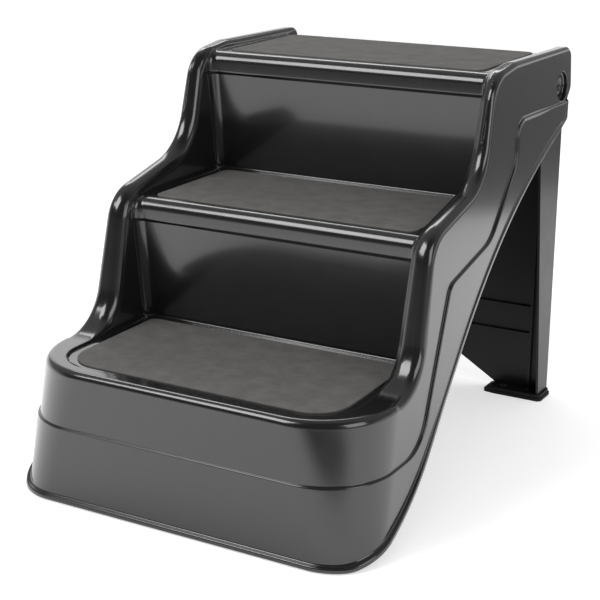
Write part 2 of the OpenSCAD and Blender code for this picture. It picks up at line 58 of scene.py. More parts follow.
# What most finishes share, the range of a cloud's values that is used, the finer clouds' sizes as
# shares of the wave, and each cloud's detail and roughness
shared = {"colourSwing": 0.06, "roughSwing": 0.06, "metallic": 0.0, "coat": 0.0, "coatRough": 0.1,
          "cloudLow": 0.3, "cloudHigh": 0.7, "colourCloud": 0.6, "roughCloud": 0.35,
          "waveDetail": (2.0, 0.5), "grainDetail": (3.0, 0.6), "colourDetail": (5.0, 0.65),
          "roughDetail": (6.0, 0.7)}


# Each sRGB channel c becomes ((c + 0.055) / 1.055) to the power 2.4
def linear(colour, factor=1.0):
    return tuple(factor * ((c + 0.055) / 1.055) ** 2.4 for c in colour) + (1.0,)


# A moulded surface: fine grain over a slow wave as bump, and slow clouds that shift the colour
# and the roughness a little about their named values
def mouldedFinish(name, chosen):
    look = {**shared, **finishes[chosen]}
    material = bpy.data.materials.new(name)
    material.use_nodes = True
    nodes, links = material.node_tree.nodes, material.node_tree.links
    shader = nodes["Principled BSDF"]
    shader.inputs["Metallic"].default_value = look["metallic"]
    shader.inputs["Specular IOR Level"].default_value = look["specular"]
    shader.inputs["Coat Weight"].default_value = look["coat"]
    shader.inputs["Coat Roughness"].default_value = look["coatRough"]
    place = nodes.new("ShaderNodeTexCoord")

    def cloud(sizeInMillimetres, detail, roughness):
        noise = nodes.new("ShaderNodeTexNoise")
        noise.inputs["Scale"].default_value = 1000.0 / sizeInMillimetres
        noise.inputs["Detail"].default_value = detail
        noise.inputs["Roughness"].default_value = roughness
        links.new(place.outputs["Object"], noise.inputs["Vector"])
        return noise.outputs["Fac"]

    def bump(height, depthInMillimetres, normal=None):
        node = nodes.new("ShaderNodeBump")
        node.inputs["Distance"].default_value = depthInMillimetres / 1000.0
        node.inputs["Strength"].default_value = 1.0
        links.new(height, node.inputs["Height"])
        if normal is not None:
            links.new(normal, node.inputs["Normal"])
        return node.outputs["Normal"]

    slow = bump(cloud(look["wave"], *look["waveDetail"]), look["waveDepth"])
    fine = bump(cloud(look["grain"], *look["grainDetail"]), look["grainDepth"], slow)
    links.new(fine, shader.inputs["Normal"])
    ramp = nodes.new("ShaderNodeValToRGB")
    darker, lighter = ramp.color_ramp.elements
    darker.position, lighter.position = look["cloudLow"], look["cloudHigh"]
    darker.color = linear(look["colour"], 1 - look["colourSwing"])
    lighter.color = linear(look["colour"], 1 + look["colourSwing"])
    links.new(cloud(look["wave"] * look["colourCloud"], *look["colourDetail"]), ramp.inputs["Fac"])
    links.new(ramp.outputs["Color"], shader.inputs["Base Color"])
    swing = nodes.new("ShaderNodeMapRange")
    swing.inputs["From Min"].default_value = look["cloudLow"]
    swing.inputs["From Max"].default_value = look["cloudHigh"]
    swing.inputs["To Min"].default_value = look["rough"] - look["roughSwing"] / 2
    swing.inputs["To Max"].default_value = look["rough"] + look["roughSwing"] / 2
    links.new(cloud(look["wave"] * look["roughCloud"], *look["roughDetail"]), swing.inputs["Value"])
    links.new(swing.outputs["Result"], shader.inputs["Roughness"])
    return material


plastic = mouldedFinish("mouldedPlastic", "plastic")
legPlastic = mouldedFinish("legPlastic", "leg")
matFinish = mouldedFinish("grittyMat", "mat")
rubber = mouldedFinish("footRubber", "rubber")
pinFinish = mouldedFinish("pinPlastic", "pin")
steel = mouldedFinish("clipSteel", "steel")

for name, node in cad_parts.items():
    finish = plastic
    if name.startswith("tread_mat"):
        finish = matFinish
    elif "foot" in name:
        finish = rubber
    elif name.startswith("hinge_pin"):
        finish = pinFinish
    elif name.startswith("pin_clip"):
        finish = steel
    node.data.materials.clear()
    node.data.materials.append(finish)
print("finishes made")

# Sizes of the moulding in millimetres; y runs back from the flange's front, z up from the floor
size = {
    "height": 510.0, "length": 660.0, "rise": 166.5, "going": 186.5, "treadEndY": 631.0,
    "halfWidth": 247.0, "sideLean": 20.5, "frontLean": 25.2,
    "frontY": 8.5, "cornerRadius": 61.5, "cornerGrowth": 39.0, "frontRimZ": 170.0, "skin": 3.5,
    "recessX": 145.0, "recessY": 95.5, "recessRadius": 54.0, "recessLean": 8.0,
    "frontRimFillet": 8.5, "rimFillet": 12.0, "crownFillet": 7.5, "upperFillet": 6.0, "lastFillet": 5.0,
    "rearFillet": 3.4, "innerFillet": 16.0, "crownInnerFillet": 5.5, "upperInnerFillet": 8.0,
    "lastInnerFillet": 6.0, "frontInnerFillet": 2.6, "innerShareOfRise": 0.75,
    "cheekZ": 482.6, "apronZ": 470.2, "topRun": 70.0, "undersideStart": 80.0,
    "belowFillet": 1.0, "belowInnerFillet": 0.7, "belowLedge": 1.2, "aboveFlange": 1.5,
    "bandStep": 3.0, "ledgeZ": 97.0, "ledgeCove": 0.9, "ledgeEdge": 1.9, "ledgeSoftness": 3.2,
    "flangeStep": 8.5, "flangeHeight": 6.0, "flangeCove": 2.6, "flangeEdge": 2.2, "lipEdge": 1.4,
    "lipWidth": 1.5, "lipRise": 0.6, "lipIn": 0.5, "flangeBottomZ": 1.5,
    "sideFlange": 0.35, "flangeFullY": 75.0, "sideFlangeY": 230.0,
    "bandAfterCrown": 22.0, "bandBeforeEnd": 55.0, "rimBeforeEnd": 3.0, "holeFromY": 560.0,
    "fadeStart": 520.0, "fadeStartX": 241.9, "fadeEndX": 230.48, "rearX": 219.4, "rearEdge": 1.2,
    "rearStepFrom": 1.0, "rearStepTo": 4.0,
    "riserEndFillet": 12.0, "treadEndFillet": 1.6, "tuck": 2.5,
    "ribHeight": 9.0, "ribThickness": 2.5, "ribPitch": 110.0, "ribRoot": 1.0,
}
# How many stations the flat front and its corner have, points on a fillet's quarter circle, points
# on the first tread's side view and passes that settle the lower edge; rows of points above the
# flange, down the inner walls and down the band's inside, and columns below the steps
frontStations, cornerStations, quarterPoints, treadPoints, edgePasses = 15, 30, 8, 20, 6
rowsAboveFlange, rowsInside, rowsBehindBand, columnsBelow = 5, 7, 4, 4
# A tolerance in millimetres for comparing lengths, and in metres how near points are welded and how
# thin a face is dropped
slack, weldWithin, thinnest = 0.001, 0.00001, 0.000002
# The sizes used most, and the heights of the three treads
length, rise, going, skin, apronZ = (size[name] for name in ("length", "rise", "going", "skin", "apronZ"))
treadZ = [rise, 2 * rise, 3 * rise]

# Corners [y, z, radius] of the rim, the band's top line and the lower edge
rimCorners = [[117.4, size["frontRimZ"], 0], [169.06, size["frontRimZ"], 65.8], [211.58, 342, 55],
              [361.7, 377.6, 75], [395.5, 501.5, 50], [462, 509.98, 100], [length, 506.9, 14],
              [length, 450.8, 15], [644.2, 434.5, 15], [642.2, 411, 0]]
bandCorners = [[97.6, size["ledgeZ"], 0], [168, size["ledgeZ"], 60], [256.1, 274.9, 25],
               [376.2, 300.9, 60], [459, 385, 40], [466, 437, 21.6], [642.6, 434.9, 0]]
edgeCorners = [[-30, size["flangeBottomZ"], 0], [19.9, size["flangeBottomZ"], 50], [135, 36.3, 300],
               [428.7, 338.2, 866], [642.2, 411, 0]]
# Corners of the first riser with its nosing and of its rear side, their z from the tread below it
riserCorners = [[243.2, 0, 2.5], [249.5, 3.7, 2.5], [235.7, 136.5, 3], [232.9, 139.9, 4.5], [235, rise, 15.5]]
riserBackCorners = [[253.7, -skin, 11.5], [236.6, rise - skin, 16.5]]
# The y of the lower edge's points below the ends and corners of the band's top line
edgeBelowBand = [75.4, 118, 285, 388, 478, 503, 641]
# Fillets along the rim as [corner, millimetres past it, size]: on its outer and its inner side
outerFillets = [[1, -60, "frontRimFillet"], [1, 10, "rimFillet"], [4, 0, "crownFillet"],
                [5, 60, "upperFillet"], [6, -15, "lastFillet"], [6, 12, "rearFillet"]]
innerFillets = [[4, -10, "innerFillet"], [4, 28, "crownInnerFillet"], [5, 40, "upperInnerFillet"],
                [6, -20, "lastInnerFillet"], [6, 0, "rearFillet"]]
# The risers' share of the steps' end fillet as [corner, millimetres past it, share]
riserShares = [[1, -2, 0], [2, 4, 1], [5, -13, 1], [5, 15, 0],
               [6, -2, 0], [7, 4, 1], [10, -13, 1], [10, 15, 0]]
# How far the ledge over the band is drawn out, in the same form
ledgeSoftness = [[3, 20, 1.0], [4, 20, "ledgeSoftness"], [5, 60, "ledgeSoftness"], [5, 110, 1.0]]
# The y of the ribs that cross below the treads
crossRibY = [145.0, 340.6, 527.0]

hinge = {"y": 624.0, "z": 457.0, "cup": 20.0, "cupOut": 23.2, "floorX": 222.0, "backX": 218.8,
         "lip": 0.9, "floorFillet": 2.4, "backEdge": 0.6, "floorRing": 12.0, "bore": 5.3,
         "ringStep": 0.8, "deepest": 50.0}


# Straight runs joined by arcs. An arc starts its radius times the tangent of half the turn before
# the corner, and its points are its centre plus or minus the radius times the turned left normal
def roundedPath(corners, perArc=16, runStep=14.0):
    table = np.array(corners, float)
    corner, radius = table[:, :2], table[:, 2]
    between = np.diff(corner, axis=0)
    ahead = between / np.linalg.norm(between, axis=1)[:, None]
    left = np.stack([-ahead[:, 1], ahead[:, 0]], 1)
    turn = np.zeros(len(corner))
    turn[1:-1] = np.arctan2(ahead[:-1, 0] * ahead[1:, 1] - ahead[:-1, 1] * ahead[1:, 0],
                            (ahead[:-1] * ahead[1:]).sum(1))
    cut = radius * np.tan(np.abs(turn) / 2)
    points, normals, marks, total = [], [], [0.0], 0.0
    for i in range(len(ahead)):
        start, end = corner[i] + ahead[i] * cut[i], corner[i + 1] - ahead[i] * cut[i + 1]
        run = np.linalg.norm(end - start)
        part = np.linspace(0, 1, max(1, math.ceil(run / runStep)) + 1)[:, None]
        points.append(start + (end - start) * part)
        normals.append(np.repeat(left[i:i + 1], len(part), 0))
        total += run
        arc = radius[i + 1] * abs(turn[i + 1])
        marks.append(total + arc / 2)
        total += arc
        if arc > 0:
            bend = np.linspace(0, turn[i + 1], perArc + 1)[1:-1, None]
            normal = left[i] * np.cos(bend) - ahead[i] * np.sin(bend)
            points.append(end + np.sign(turn[i + 1]) * radius[i + 1] * (left[i] - normal))
            normals.append(normal)
    points, normals = np.concatenate(points), np.concatenate(normals)
    lengths = np.concatenate([[0], np.cumsum(np.linalg.norm(np.diff(points, axis=0), axis=1))])
    return {"lengths": lengths, "points": points, "normals": normals,
            "marks": np.array(marks) * lengths[-1] / total}


# The side view of both risers, the second a rise above and a going behind the first
def bothRisers(corners):
    return [[y + k * going, treadZ[k] + z, radius] for k in (0, 1) for y, z, radius in corners]


# Places and unit left normals at given lengths of a path, by straight interpolation of its points
def along(path, lengths):
    place, normal = (np.stack([np.interp(lengths, path["lengths"], path[kind][:, i]) for i in (0, 1)], -1)
                     for kind in ("points", "normals"))
    return place, normal / np.linalg.norm(normal, axis=-1, keepdims=True)


endY, backEndY = size["treadEndY"], size["treadEndY"] - skin
stepCorners = [[38.83, treadZ[0], 0], *bothRisers(riserCorners), [endY, treadZ[2], 8], [endY, apronZ, 0]]
undersideCorners = [[38, treadZ[0] - skin, 0], *bothRisers(riserBackCorners),
                    [backEndY, treadZ[2] - skin, 5], [backEndY, apronZ, 0]]
rimPath, bandPath, edgePath, stepPath, undersidePath = (
    roundedPath(corners) for corners in (rimCorners, bandCorners, edgeCorners, stepCorners, undersideCorners))
rimMarks, bandMarks, stepMarks, underMarks = (
    path["marks"] for path in (rimPath, bandPath, stepPath, undersidePath))

# Stations run along the front, round the corner and up the side; the sides' ones follow the rim
cornerAngle = np.linspace(0, np.pi / 2, cornerStations + 1)[1:]
rearRun = rimPath["points"][:, 0] > length - slack
cheekAt = np.interp(-size["cheekZ"], -rimPath["points"][rearRun, 1], rimPath["lengths"][rearRun])
rimEnd = rimMarks[8] - size["rimBeforeEnd"]
rimAt = np.concatenate([rimPath["lengths"][rimPath["lengths"] < rimEnd], [cheekAt, rimEnd]])
rimAt = np.unique(np.round(rimAt, 6))[1:]
share = np.concatenate([np.linspace(0, 1, frontStations), np.ones(cornerStations + len(rimAt))])
angle = np.concatenate([np.zeros(frontStations), cornerAngle, np.full(len(rimAt), np.pi / 2)])
firstSide = frontStations + cornerStations
onSide = np.arange(len(share)) >= firstSide
bandEnd = [bandMarks[5] + size["bandAfterCrown"], bandMarks[6] - size["bandBeforeEnd"], bandMarks[6]]
bandAt = np.interp(rimAt, rimMarks[[0, 1, 2, 3, 4, 5, 6, 8]], np.concatenate([bandMarks[:5], bandEnd]))
edgeAt = np.interp(bandAt, bandMarks, np.interp(edgeBelowBand, edgePath["points"][:, 0], edgePath["lengths"]))


# One value per station: the flat front and corner take `level`, the sides the given values
def spread(level, values):
    return np.concatenate([np.full(firstSide, float(level)), values])


# A control line as depth zero: its y and z on the sides and the unit step downwards off it
def control(path, lengths, level):
    place, normal = along(path, lengths)
    return {"y": spread(0, place[:, 0]), "z": spread(level, place[:, 1]),
            "downY": spread(0, -normal[:, 0]), "downZ": spread(-1, -normal[:, 1])}


# The half width falls by sideLean over the whole height, with g added outside the wall
def wallHalf(z, g):
    return size["halfWidth"] + g - size["sideLean"] * z / size["height"]


# Near the rear the flange and band fade into the wall along a straight line in plan
def fadeLine(y):
    return size["fadeStartX"] + (size["fadeEndX"] - size["fadeStartX"]) * (
        y - size["fadeStart"]) / (length - size["fadeStart"])


# Outer wall at height z, g outside it. The way round goes over the corner's arc, whose radius grows
# with z, and then straight back. The bend is the way over the radius, and x and y are the arc's
# centre plus the radius times its sine and less the radius times its cosine
def outerPoint(y, z, g, tilt=0.0):
    half = wallHalf(z, g)
    front = size["frontY"] - g + size["frontLean"] * z / size["height"]
    radius = size["cornerRadius"] + g + size["cornerGrowth"] * z / size["frontRimZ"]
    way = np.where(onSide, y - front - radius + radius * np.pi / 2, angle * radius) + tilt
    bend = np.clip(way / radius, 0, np.pi / 2)
    x = share * (half - radius) + radius * np.sin(bend)
    back = front + radius - radius * np.cos(bend) + np.maximum(way - radius * np.pi / 2, 0)
    x = np.where(back > size["fadeStart"], np.minimum(x, fadeLine(back)), x)
    return np.stack(np.broadcast_arrays(x, back, z), -1)


# Inner wall at height z, q behind its face: quarter cones in front, a leaning plane on the sides. The
# cone's radius grows with z, and it goes out by the sine and forwards by the cosine of the angle
def innerPoint(y, z, q):
    radius = size["recessRadius"] + q + size["recessLean"] * z / size["height"]
    x = share * size["recessX"] + radius * np.sin(angle)
    back = np.where(onSide, y, size["recessY"] - radius * np.cos(angle))
    return np.stack(np.broadcast_arrays(x, back, z), -1)


# Rows of both walls: the control line's points moved depth down square to it
def outerRow(line, depth, g):
    return outerPoint(line["y"] + depth * line["downY"], line["z"] + depth * line["downZ"], g)


def innerRow(line, depth, q):
    return innerPoint(line["y"] + depth * line["downY"], line["z"] + depth * line["downZ"], q)


# Lower edge, h above it and g outside the wall: the edge's height is read at each point's own y,
# which the corner needs a few passes for, and h is taken square to the edge on the unrolled wall
def edgeRow(h, g):
    place, normal = along(edgePath, edgeAt)
    slope = spread(0, -normal[:, 0] / normal[:, 1])
    z = spread(size["flangeBottomZ"], place[:, 1])
    for _ in range(edgePasses):
        y = outerPoint(spread(0, place[:, 0]), z, g)[:, 1]
        here, ahead = (np.interp(at, edgePath["points"][:, 0], edgePath["points"][:, 1]) for at in (y, y + 1))
        slope = np.where(onSide, slope, (ahead - here) * np.sin(angle))
        z = np.where(onSide, z, here)
    upright = 1 / np.sqrt(1 + slope ** 2)
    growth = size["cornerGrowth"] / size["frontRimZ"] + size["frontLean"] / size["height"]
    shift = np.where(onSide, 0, angle / (np.pi / 2) * growth * h * upright)
    return outerPoint(spread(0, place[:, 0]), z + h * upright, g, -h * slope * upright - shift)


# Straight lines from one row to the next, at the given shares of the way
def ruled(first, second, shares):
    part = np.asarray(shares, float)[:, None, None]
    return (1 - part) * first + part * second


# Values along a path by straight interpolation, from a list of [corner, millimetres past it, number
# or name of a size]
def valuesAlong(lengths, marks, rows):
    return np.interp(lengths, [marks[corner] + past for corner, past, _ in rows],
                     [size.get(value, value) for _, _, value in rows])


class Moulding:
    # Collects grids of points in millimetres with their quads, then mirrors, welds and builds them
    def __init__(self):
        self.points, self.quads, self.count = [], [], 0

    # A grid's quads join neighbouring rows and columns; they are turned to face along `facing`,
    # a direction or a function of the points
    def grid(self, points, facing):
        points = np.asarray(points, float)
        total = points.shape[0] * points.shape[1]
        index = self.count + np.arange(total).reshape(points.shape[:2])
        quads = np.stack([index[:-1, :-1], index[1:, :-1], index[1:, 1:], index[:-1, 1:]], -1).reshape(-1, 4)
        normal = np.cross(points[1:, 1:] - points[:-1, :-1], points[:-1, 1:] - points[1:, :-1])
        wanted = facing(points[:-1, :-1]) if callable(facing) else np.asarray(facing, float)
        if (normal * wanted).sum() < 0:
            quads = quads[:, ::-1]
        self.points.append(points.reshape(-1, 3))
        self.quads.append(quads)
        self.count += total

    # The quad between the ends of two pairs of rows closes a grid's open edge
    def close(self, first, second, facing):
        self.grid(np.stack([np.stack(first), np.stack(second)]), facing)

    # Adds the other side, moves the middle of the length to nought, and welds what meets, in metres
    def build(self, name, material, mirrored=True):
        points, quads = np.concatenate(self.points), np.concatenate(self.quads)
        if mirrored:
            quads = np.concatenate([quads, quads[:, ::-1] + len(points)])
            points = np.concatenate([points, points * [-1, 1, 1]])
        points = (points - [0, length / 2, 0]) / 1000
        mesh = bpy.data.meshes.new(name)
        mesh.from_pydata(points.tolist(), [], quads.tolist())
        work = bmesh.new()
        work.from_mesh(mesh)
        bmesh.ops.remove_doubles(work, verts=work.verts, dist=weldWithin)
        bmesh.ops.dissolve_degenerate(work, edges=work.edges, dist=thinnest)
        work.to_mesh(mesh)
        work.free()
        mesh.shade_smooth()
        mesh.materials.append(material)
        piece = bpy.data.objects.new(name, mesh)
        scene.collection.objects.link(piece)
        return piece


# Rough directions that grids face: sideways on the side walls and half forwards before cornerY,
# upwards with a lean to the rear, and away from the hinge's axis with x along it
def outward(points, cornerY=110.0):
    x, y = points[..., 0], points[..., 1]
    return np.stack([np.where(y > cornerY, 1, 0.5) + 0 * x, np.where(y < cornerY, -1.0, 0.0), 0 * x], -1)


def inward(points):
    return -outward(points, cornerY=100.0)


def upward(points):
    return np.stack([0 * points[..., 0], points[..., 1] / length, 1 + 0 * points[..., 0]], -1)


def offHinge(points, x):
    return np.stack([x + 0 * points[..., 0], points[..., 1] - hinge["y"], points[..., 2] - hinge["z"]], -1)


shell = Moulding()
rim = control(rimPath, rimAt, size["frontRimZ"])
band = control(bandPath, bandAt, size["ledgeZ"])
quarter = np.linspace(0, np.pi / 2, quarterPoints)
outFillet = spread(size["frontRimFillet"], valuesAlong(rimAt, rimMarks, outerFillets))
# The inner fillet is no deeper than a share of the rim's height above the lowest tread
aboveTread = size["innerShareOfRise"] * (along(rimPath, rimAt)[0][:, 1] - treadZ[0])
inFillet = spread(size["frontInnerFillet"], np.minimum(
    valuesAlong(rimAt, rimMarks, innerFillets), np.maximum(aboveTread, size["frontInnerFillet"])))

# Outer fillet, wall, ledge and band down to the flange and its lip. A rounding goes through its
# quarter circle: along by its radius times one less the cosine, across by one less the sine
bandStep, cove, edge = size["bandStep"], size["ledgeCove"], size["ledgeEdge"]
soft = spread(1.0, valuesAlong(bandAt, bandMarks, ledgeSoftness))
fillet = [outerRow(rim, outFillet * (1 - np.cos(q)), -outFillet * (1 - np.sin(q))) for q in quarter]
wallTop = outerRow(rim, outFillet + size["belowFillet"], 0.0)
ledge = [outerRow(band, -soft, 0.0)]
ledge += [outerRow(band, -soft * cove * (1 - np.sin(q)), cove * (1 - np.cos(q))) for q in quarter[::2]]
ledge += [outerRow(band, soft * edge * (1 - np.cos(q)), bandStep - edge * (1 - np.sin(q))) for q in quarter]
ledge += [outerRow(band, soft * edge + size["belowLedge"], bandStep)]
flangeCove, flangeEdge, lipEdge, top = (
    size[name] for name in ("flangeCove", "flangeEdge", "lipEdge", "flangeHeight"))
narrowing = spread(1.0, np.interp(along(edgePath, edgeAt)[0][:, 0],
                                  [size["flangeFullY"], size["sideFlangeY"]], [1.0, size["sideFlange"]]))
flangeG = bandStep + (size["flangeStep"] - bandStep) * narrowing
flange = [edgeRow(top + flangeCove + size["aboveFlange"], bandStep)]
flange += [edgeRow(top + flangeCove * (1 - np.sin(q)), bandStep + flangeCove * (1 - np.cos(q)) * narrowing)
           for q in quarter]
flange += [edgeRow(top - flangeEdge * (1 - np.cos(q)), flangeG - flangeEdge * (1 - np.sin(q)) * narrowing)
           for q in quarter]
flange += [edgeRow(lipEdge * (1 - np.sin(q)), flangeG - lipEdge * (1 - np.cos(q))) for q in quarter[::2]]
lip = [edgeRow(0.0, size["lipWidth"]), edgeRow(0.0, 0.0), edgeRow(size["lipRise"], -size["lipIn"])]
holeStart = int(np.argmax(spread(0, along(rimPath, rimAt)[0][:, 0]) > size["holeFromY"]))
wallRows = np.stack([wallTop, *ruled(wallTop, ledge[0], [0.25, 0.5, 0.75]), ledge[0]])
shell.grid(np.stack(fillet + [wallTop]), lambda points: outward(points) + [0, 0, 1.0])
shell.grid(wallRows[:, :holeStart + 1], outward)
shell.grid(np.stack(ledge), outward)
shell.grid(ruled(ledge[-1], flange[0], np.linspace(0, 1, rowsAboveFlange)), outward)
shell.grid(np.stack(flange), outward)
shell.grid(np.stack([flange[-1]] + lip), [0, 0, -1.0])

# Inner side of the rim: flat top, inner fillet and inner wall down to the steps
last = firstSide + int(np.searchsorted(rimAt, cheekAt - slack)) + 1
sideAt = np.minimum(rimAt, cheekAt)
keys = np.concatenate([rimMarks[:7], [cheekAt]])
apronDrop = size["cheekZ"] - apronZ
treadY, treadAt = stepPath["points"][:treadPoints, 0], stepPath["lengths"][:treadPoints]
stepStart = np.interp(rimCorners[0][0], treadY, treadAt)
stepKeys = [stepStart, *stepMarks[[2, 5, 7, 10]], stepMarks[10] + size["topRun"], stepMarks[11],
            stepPath["lengths"][-1] - apronDrop]
underKeys = [size["undersideStart"], *underMarks[1:5], underMarks[4] + size["topRun"], underMarks[5],
             undersidePath["lengths"][-1] - apronDrop]
stepLine = control(stepPath, np.interp(sideAt, keys, stepKeys), treadZ[0])
underLine = control(undersidePath, np.interp(sideAt, keys, underKeys), treadZ[0] - skin)
innerRim = dict(rim, y=np.where(np.arange(len(share)) == firstSide - 1, size["recessY"], rim["y"]))
innerFillet = [innerRow(innerRim, inFillet * (1 - np.cos(q)), inFillet * (1 - np.sin(q))) for q in quarter]
innerTop = innerRow(innerRim, inFillet + size["belowInnerFillet"], 0.0)
innerWall = ruled(innerTop, innerRow(stepLine, 0.0, 0.0), np.linspace(0, 1, rowsInside))
shell.grid(ruled(fillet[0], innerFillet[0], [0, 0.1, 0.5, 0.9, 1])[:, :last], upward)
shell.grid(np.stack(innerFillet + [innerTop])[:, :last], lambda points: inward(points) + [0, 0, 0.5])
shell.grid(innerWall[:, :last], inward)

# Hidden faces: under the rim, behind the inner wall, inside the outer wall and the band
under = [outerRow(rim, skin, -skin), innerRow(innerRim, skin, skin)]
hidden = ruled(under[1], innerRow(underLine, 0.0, skin), np.linspace(0, 1, rowsInside))
inside = ruled(under[0], outerRow(band, skin, -skin), [0, 0.5, 1])
skirt = ruled(outerRow(band, skin, bandStep - skin), lip[-1], np.linspace(0, 1, rowsBehindBand))
shell.grid(np.stack(under)[:, :last], lambda points: -upward(points))
shell.grid(hidden[:, :last], lambda points: -inward(points))
shell.grid(inside[:, :holeStart + 1], lambda points: -outward(points))
shell.grid(np.stack([inside[-1], skirt[0]]), [0, 0, -1.0])
shell.grid(skirt, lambda points: -outward(points))
# The inner skin's lower edge behind the steps, and the skirt's end
shell.grid(np.stack([innerWall[:, last - 1], hidden[:, last - 1]]), [0, 0, -1.0])
shell.close([ledge[-1][-1], flange[0][-1]], [skirt[0][-1], skirt[-1][-1]], [0, 1.0, 0])


# Rear edge of the side wall, depth inside its rear line: its x is the outer wall's, g outside it and
# limited by the fade, or a fixed one
def rearRow(lengths, depth, g, fixedX=None):
    place, normal = along(rimPath, lengths)
    y, z = place[:, 0] - depth * normal[:, 0], place[:, 1] - depth * normal[:, 1]
    x = np.minimum(wallHalf(z, g), fadeLine(y)) if fixedX is None else np.full_like(y, fixedX)
    return np.stack([x, y, z], -1)


pastEnd = rimPath["lengths"][rimPath["lengths"] > rimEnd]
rearAt = np.unique(np.concatenate([rimAt[rimAt > cheekAt - slack], pastEnd]))
rearG = np.interp(rearAt, [rimEnd + size["rearStepFrom"], rimEnd + size["rearStepTo"]], [0.0, bandStep])
rearR, rearX, rearEdge = size["rearFillet"], size["rearX"], size["rearEdge"]
rearFace = [rearRow(rearAt, 0.0, rearG - rearR), rearRow(rearAt, 0.0, 0, rearX + rearEdge)]
rearFace += [rearRow(rearAt, rearEdge * (1 - np.cos(q)), 0, rearX + rearEdge * (1 - np.sin(q)))
             for q in quarter[1::2]]
rearFace += [rearRow(rearAt, skin, 0, rearX), rearRow(rearAt, skin, -skin)]
rearFillet = [rearRow(rearAt, rearR * (1 - np.cos(q)), rearG - rearR * (1 - np.sin(q))) for q in quarter]
shell.grid(np.stack(rearFace), [0, 1.0, 0])
shell.grid(np.stack(rearFillet)[:, rearAt > rimEnd - slack], [1.0, 1.0, 0])
shell.close([rearFace[0][-1], rearFace[1][-1]], [rearFace[-1][-1], rearFace[-2][-1]], [0, 0, -1.0])
cheekEdge = [rearRow(np.array([cheekAt]), depth, 0, x)[0]
             for depth, x in ((0, rearX + rearEdge), (skin, rearX))]
shell.close([cheekEdge[0], innerFillet[0][last - 1]], [cheekEdge[1], hidden[0, last - 1]], [0, 0, -1.0])


# A ring of the wall round the hinge pocket: straight rays from a closed loop of wall points to the
# points of a circle at the same angles about the hinge
def pocketRing(loop, radius, g, facing):
    around = np.arctan2(loop[:, 2] - hinge["z"], loop[:, 1] - hinge["y"])
    rows = [loop]
    for extra in (hinge["ringStep"], 0.0):
        y, z = hinge["y"] + (radius + extra) * np.cos(around), hinge["z"] + (radius + extra) * np.sin(around)
        rows.append(np.stack([wallHalf(z, g), y, z], -1))
    ring = np.concatenate([ruled(rows[0], rows[1], [0, 0.5, 1]), rows[2][None]])
    shell.grid(np.concatenate([ring, ring[:, :1]], 1), facing)
    return np.append(around, around[0])


# Turned about the hinge: each row is a radius with its x, or its depth under the leaning wall where
# the number is too small to be an x
def turned(around, radii, places, g):
    y, z = (hinge[axis] + np.outer(radii, wave(around)) for axis, wave in (("y", np.cos), ("z", np.sin)))
    given = np.asarray(places, float)[:, None]
    return np.stack([np.where(given <= hinge["deepest"], wallHalf(z, g) - given, given + 0 * y), y, z], -1)


# The loop of wall points that the hole in it leaves
def holeLoop(rows):
    return np.concatenate([rows[0, holeStart:], rows[-1, holeStart:][::-1], rows[::-1, holeStart][1:-1]])


cup, lipRadius, floorFillet = hinge["cup"], hinge["lip"], hinge["floorFillet"]
hingeAngle = pocketRing(holeLoop(wallRows), cup + lipRadius, 0.0, [1.0, 0, 0])
radii = [*(cup + lipRadius * (1 - np.sin(quarter))), *(cup - floorFillet * (1 - np.cos(quarter))),
         hinge["floorRing"], hinge["bore"]]
places = [*(lipRadius * (1 - np.cos(quarter))), *(hinge["floorX"] + floorFillet * (1 - np.sin(quarter))),
          hinge["floorX"], hinge["floorX"]]
shell.grid(turned(hingeAngle, radii, places, 0.0), lambda points: -offHinge(points, -0.3))
backAngle = pocketRing(holeLoop(inside), hinge["cupOut"], -skin, [-1.0, 0, 0])
radii = [hinge["cupOut"], hinge["cupOut"], hinge["cupOut"] - hinge["backEdge"], hinge["bore"]]
places = [0.0, hinge["backX"] + hinge["backEdge"], hinge["backX"], hinge["backX"]]
shell.grid(turned(backAngle, radii, places, -skin), lambda points: offHinge(points, -1.0))


# Half the width between the inner walls at a place on the steps: recessX plus the root of the
# corner radius squared less the square of the distance ahead of the corner's centre
def stepHalf(y, z):
    radius = size["recessRadius"] + size["recessLean"] * z / size["height"]
    ahead = np.clip(size["recessY"] - y, 0, radius)
    return size["recessX"] + np.sqrt(radius ** 2 - ahead ** 2)


# Steps: the side view carried across, its ends curving up or forward into the inner walls by a
# quarter circle whose radius is large on the risers and small on the treads. The riser's share is
# eased: three times its square less twice its cube
def stepSurface(columns=6, perFillet=11):
    place, lengths = stepPath["points"], stepPath["lengths"]
    riser = valuesAlong(lengths, stepMarks, riserShares)
    riser = riser * riser * (3 - 2 * riser)
    radius = size["treadEndFillet"] + (size["riserEndFillet"] - size["treadEndFillet"]) * riser
    way = np.stack([-riser, 1 - riser], -1)
    way /= np.linalg.norm(way, axis=1, keepdims=True)
    half = stepHalf(place[:, 0], place[:, 1])
    bend = np.linspace(0, np.pi / 2, perFillet)
    x = np.concatenate([np.outer(np.linspace(0, 1, columns)[:-1], half - radius),
                        half - radius + np.outer(np.sin(bend), radius), half[None] + size["tuck"]])
    lift = np.concatenate([np.zeros((columns - 1, len(lengths))),
                           np.outer(1 - np.cos(bend), radius), radius[None]])
    return np.stack([x, place[:, 0] + lift * way[:, 0], place[:, 1] + lift * way[:, 1]], -1)


stepGrid = stepSurface()
place = undersidePath["points"]
half = stepHalf(place[:, 0], place[:, 1]) + skin
across = np.linspace(0, 1, columnsBelow)[:, None] * half
underGrid = np.stack(np.broadcast_arrays(across, place[:, 0], place[:, 1]), -1)
shell.grid(stepGrid, [0, -0.6, 1.0])
shell.grid(underGrid, [0, 0.6, -1.0])
shell.close([stepGrid[0, -1], stepGrid[-1, -1]], [underGrid[0, -1], underGrid[-1, -1]], [0, 0, -1.0])

